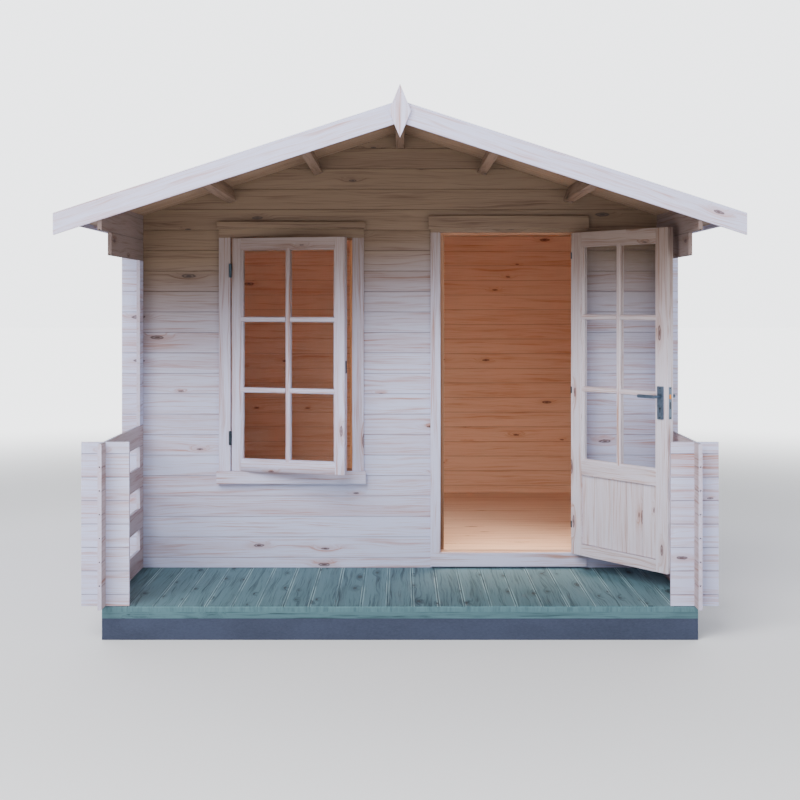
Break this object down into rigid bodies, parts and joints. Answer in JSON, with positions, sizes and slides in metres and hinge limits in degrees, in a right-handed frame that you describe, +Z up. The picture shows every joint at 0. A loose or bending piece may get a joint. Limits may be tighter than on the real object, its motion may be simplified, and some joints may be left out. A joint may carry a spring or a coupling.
{
  "type": "log cabin",
  "caption": "Log cabin with a covered front veranda, low log rails, a shallow gable roof on purlins, a half-glazed door and a casement window.",
  "frame": {"origin": "centre of the bounding box, on the ground", "axes": "+X to the right seen from the front, +Y from the front to the rear, +Z up"},
  "size_m": [3.32, 4.596, 2.6844],
  "materials": {
    "timber": "pale sawn softwood",
    "roof_timber": "planed softwood boards",
    "floor_timber": "planed softwood boards",
    "treated_timber": "treated softwood",
    "base_stone": "plain grey slab",
    "metal": "satin",
    "glass": "clear"
  },
  "bodies": {
    "cabin": {"base": "base_stone", "floor_bearers": "treated_timber", "deck_bearers": "treated_timber", "cabin_floor": "floor_timber", "veranda_deck": "treated_timber", "front_wall_logs": "timber", "front_gable_logs": "timber", "rear_wall_logs": "timber", "rear_gable_logs": "timber", "left_wall_logs": "timber", "right_wall_logs": "timber", "left_rail_logs": "timber", "right_rail_logs": "timber", "left_eaves_logs": "timber", "right_eaves_logs": "timber", "left_return_logs": "timber", "right_return_logs": "timber", "left_roof": "roof_timber", "right_roof": "roof_timber", "ridge_purlin": "roof_timber", "left_purlins": "roof_timber", "right_purlins": "roof_timber", "front_bargeboards": "timber", "rear_bargeboards": "timber", "gable_finials": "timber", "eaves_fascias": "timber", "door_jambs": "timber", "door_head": "timber", "door_threshold": "timber", "head_boards": "timber", "window_jambs": "timber", "window_head": "timber", "window_sill": "timber", "window_sill_board": "timber", "window_sash": "timber", "window_glass": "glass", "window_hinges": "metal", "door_hinge_pins": "metal"},
    "door": {"door_hinge_knuckles": "metal", "door_leaf": "timber", "door_panel": "timber", "door_glass": "glass", "door_lock_plate": "metal", "door_handle_plates": "metal"},
    "lever": {"door_levers": "metal", "door_spindle": "metal"}
  },
  "joints": [
    {"name": "door_hinge", "type": "hinge", "parent": "cabin", "child": "door", "pos_m": [0.983, -1.168, 1.141], "axis": [0, 0, 1], "range_deg": [-124.01, 2]},
    {"name": "lever_turn", "type": "hinge", "parent": "door", "child": "lever", "pos_m": [1.35464, -1.76892, 1.159], "axis": [-0.829, -0.5593, 0], "range_deg": [0, 45], "stiffness_Nm_per_rad": 1.5, "springref_deg": -28.65}
  ]
}
